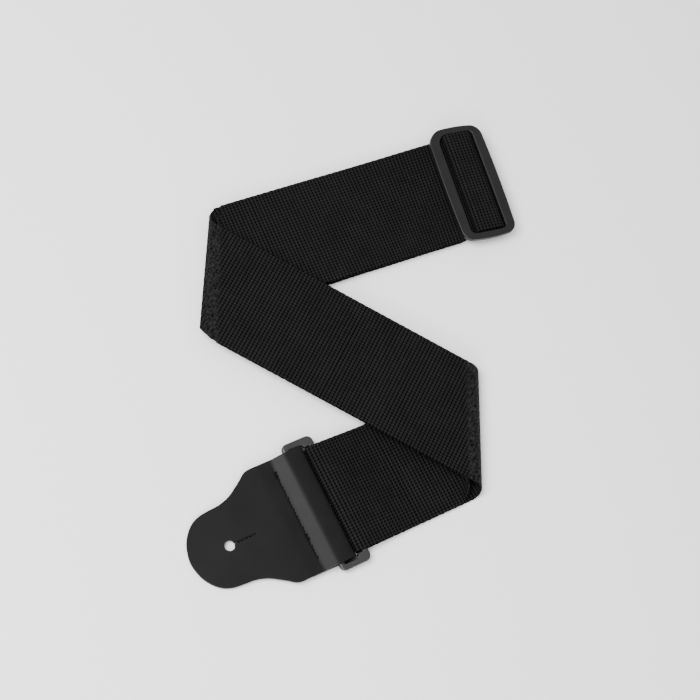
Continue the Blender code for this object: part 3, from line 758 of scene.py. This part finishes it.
def tab_mesh(name, leg, hole_at, half, flare, line, travelled, seam_back, turn_end):
    """A leather tab cut flat, with its hole and slit, scored by a seam, then bent along a line."""
    reach = float(np.interp(hole_at, line[turn_end:, 0], travelled[turn_end:]))
    side = [(x * MM + reach, y * MM) for x, y in nose_outline(half / MM, flare)]
    outline = [(0, half), *side, (NOSE + reach, 0), *((x, -y) for x, y in reversed(side)), (0, -half)]
    away = math.asin(SLIT_HALF / HOLE_RADIUS)
    opening = arc(0, 0, HOLE_RADIUS, math.pi + away, 3 * math.pi - away, 36)
    opening += [(-SLIT_END, SLIT_HALF), (-SLIT_END, -SLIT_HALF)]
    mesh = plate(name, [outline, [(x + reach, y) for x, y in opening]], LEATHER)
    edit = bmesh.new()
    edit.from_mesh(mesh)
    seam = reach - seam_back
    cuts = list(travelled[1:-1]) + [seam + d * MM for d in (-1.6, -0.9, -0.4, 0, 0.4, 0.9, 1.6)]
    cuts += list(np.arange(reach - 38 * MM, reach + 26 * MM, 3.2 * MM))
    for x in sorted(cuts):
        cut(edit, (x, 0, 0), (1, 0, 0))
    grid = [y for y in np.linspace(-half, half, 20)[1:-1] if abs(y) > 1.2 * MM]
    for y in grid + [d * MM for d in (-1.0, -0.6, 0.6, 1.0)]:
        cut(edit, (0, y, 0), (0, 1, 0))
    for vertex in edit.verts:
        x, y, height = vertex.co
        if height > 0 and abs(y) < SEAM_HALF + 1.7 * MM:
            height -= 0.12 * MM * math.exp(-(((x - seam) / (0.8 * MM)) ** 2))
        if height > 0 and reach - 18.5 * MM < x < reach - HOLE_RADIUS * 0.95 and abs(y) < 1.1 * MM:
            height -= 0.5 * MM * math.exp(-((y / (0.55 * MM)) ** 2))
        place, normal = bent(line, travelled, x)
        px, pz = place + normal * height
        vertex.co = leg.point(px, y, pz)
    bmesh.ops.recalc_face_normals(edit, faces=edit.faces)
    edit.to_mesh(mesh)
    edit.free()
    return mesh


def seam_thread(name, leg, at, z, doubled=()):
    """A row of short stitches that dip into the leather between holes."""
    curve = bpy.data.curves.new(name, "CURVE")
    curve.dimensions, curve.bevel_depth, curve.bevel_resolution = "3D", 0.40 * MM, 3
    curve.use_fill_caps = True
    places = np.linspace(-SEAM_HALF, SEAM_HALF, STITCHES + 1)
    for n, (a, b) in enumerate(zip(places, places[1:])):
        rows = ((0, 0),) if n not in doubled else ((0, 0), (0.8, 0.1), (-0.6, 0.05))
        for shift, lift in rows:
            spline = curve.splines.new("POLY")
            share = np.linspace(0.13, 0.87, 9)
            spline.points.add(len(share) - 1)
            for point, t in zip(spline.points, share):
                rise = (-0.50 + 0.70 * math.sin(math.pi * t) ** 0.6 + lift) * MM
                lean = (0.9 * (t - 0.5) + shift + 0.2 * math.sin(n * 2.4)) * MM
                point.co = (*leg.point(at + lean, a + (b - a) * t, z + rise), 1)
    thing = link(name, curve, SEWING)
    return thing


def make_front_tab():
    hole = FRONT_HOLE_AT
    radius = RING_Z - LEATHER / 2
    fold = hole - FRONT_FOLD + LEATHER / 2
    main_z, tail_z = 4.20 * MM, 2.05 * MM
    line, travelled = rounded_line(
        (hole - 41.0 * MM, tail_z),
        (hole - 52.5 * MM, tail_z, 6 * MM),
        (hole - 57.0 * MM, LEATHER / 2, 6 * MM),
        (fold, LEATHER / 2, radius - HAIR),
        (fold, 2 * RING_Z - LEATHER / 2, radius - HAIR),
        (hole - 57.5 * MM, 2 * RING_Z - LEATHER / 2, 9 * MM),
        (hole - 49.0 * MM, main_z, 9 * MM),
        (hole - 38.0 * MM, main_z, 60 * MM),
        (hole + NOSE, LEATHER / 2),
        steps=12,
    )
    turn_end = int(np.argmin(line[:, 0])) + 1
    mesh = tab_mesh("leather_front_tab", LOWER, hole, FRONT_HALF, 1.2, line, travelled, FRONT_SEAM, turn_end)
    tab = link("leather_front_tab", mesh, HIDE)
    round_edges(tab, 0.4 * MM, 3, 50)
    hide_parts("front_leather_tab")
    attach(tab, "front_tab")
    at = hole - FRONT_SEAM
    z = float(np.interp(at, line[turn_end:, 0], line[turn_end:, 1])) + LEATHER / 2
    seam = seam_thread("seam_front_tab", LOWER, at, z, doubled=(0, 1, 17, 18))
    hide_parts("front_tab_stitching")
    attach(seam, "front_tab")


def make_rear_tab():
    hole = REAR_HOLE_AT
    sewn_z = 3.2 * MM
    line, travelled = rounded_line(
        (hole - 61.0 * MM, sewn_z),
        (hole - 28.0 * MM, sewn_z, 60 * MM),
        (hole + NOSE, LEATHER / 2),
        steps=40,
    )
    mesh = tab_mesh("leather_rear_tab", REAR, hole, REAR_HALF, 0, line, travelled, REAR_SEAM, 0)
    tab = link("leather_rear_tab", mesh, HIDE)
    round_edges(tab, 0.4 * MM, 3, 50)
    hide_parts("rear_leather_tab")
    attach(tab, "rear_end")
    seam = seam_thread("seam_rear_tab", REAR, hole - REAR_SEAM, sewn_z + LEATHER / 2)
    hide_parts("rear_tab_stitching")
    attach(seam, "rear_end")


def make_anchor_seam():
    seam = seam_thread("seam_slider_anchor", ASKEW, -35.0 * MM, ANCHOR_Z + WEB / 2 + 0.1 * MM)
    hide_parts("anchor_stitching")
    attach(seam, "slider")


# ---------------------------------------------------------------- ring and slider


def rounded_frame(along, across, radii, crown=0.0, steps=10):
    """A rectangle with its own radius at each corner. The two ends across bow out by crown, the other two
    sides by half as much."""
    arcs = []
    for n, (sx, sy) in enumerate(((1, 1), (-1, 1), (-1, -1), (1, -1))):
        centre = (sx * (along / 2 - radii[n]), sy * (across / 2 - radii[n]))
        arcs.append(arc(*centre, radii[n], n * math.pi / 2, (n + 1) * math.pi / 2, steps))
    if not crown:
        return sum(arcs, [])

    def bowed(x, y):
        tx, ty = min(1, abs(2 * x / along)), min(1, abs(2 * y / across))
        out_x, out_y = crown / 2 * (1 - ty**2) * tx**4, crown * (1 - tx**2) * ty**4
        return x + math.copysign(out_x, x), y + math.copysign(out_y, y)

    outline = []
    for here, after in zip(arcs, arcs[1:] + arcs[:1]):
        a, b = np.array(here[-1]), np.array(after[0])
        outline += here + [tuple(a + (b - a) * n / 12) for n in range(1, 12)]
    return [bowed(x, y) for x, y in outline]


def make_ring():
    low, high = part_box("tab_ring")
    outer = rounded_frame(22.6 * MM, 91.4 * MM, (4.2 * MM,) * 4)
    bar = 6.7  # the window is wider where the leather passes than where the webbing does
    side = [(bar, 40.3), (bar - 0.2, 40.5), (-2.6, 40.5), (-3.4, 38.6), (0.2 - bar, 38.6), (-bar, 38.4)]
    inner = [(x * MM, y * MM) for x, y in side + [(x, -y) for x, y in reversed(side)]]
    ring = link("ring_frame", plate("ring_frame", [outer, inner], high.z - low.z), RING_PLASTIC_PAINTED_LIGHTER)
    put(ring, LOWER.point((RING_AT + TAB_BAR_AT) / 2, 0, (low.z + high.z) / 2), LOWER_HEADING)
    round_edges(ring, 1.5 * MM, 5, 75, clamp=False)
    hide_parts("tab_ring")
    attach(ring, "ring")


def make_slider():
    outer = rounded_frame(40.8 * MM, 85.0 * MM, (7.0 * MM, 10.5 * MM, 6.2 * MM, 6.2 * MM), crown=2.0 * MM)
    window = rounded_frame(26.8 * MM, 78.4 * MM, (2.8 * MM, 7.6 * MM, 3.4 * MM, 2.6 * MM), steps=8)
    body = link("slider_frame", plate("slider_frame", [outer, window], SLIDER_THICK), SLIDER_PLASTIC)
    put(body, SLIDER.point(0, 0, SLIDER_Z + SLIDER_THICK / 2), SLIDER_HEADING)
    round_edges(body, 0.8 * MM, 4, 60, clamp=False)
    outline, thickness = rounded_frame(11.0 * MM, 79.6 * MM, (0.5 * MM,) * 4, steps=3), 2.4 * MM
    bar = link("slider_bar", plate("slider_bar", [outline], thickness), SLIDER_PLASTIC)
    put(bar, SLIDER.point(0, 0, SLIDER_Z + thickness / 2), SLIDER_HEADING)
    round_edges(bar, 0.9 * MM, 3, 60)
    for piece in (body, bar):
        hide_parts("triglide_slider")
        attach(piece, "slider")


make_camera()
make_stage()
make_folds()
make_ring_loop()
make_slider_webbing()
make_front_tab()
make_rear_tab()
make_anchor_seam()
make_ring()
make_slider()
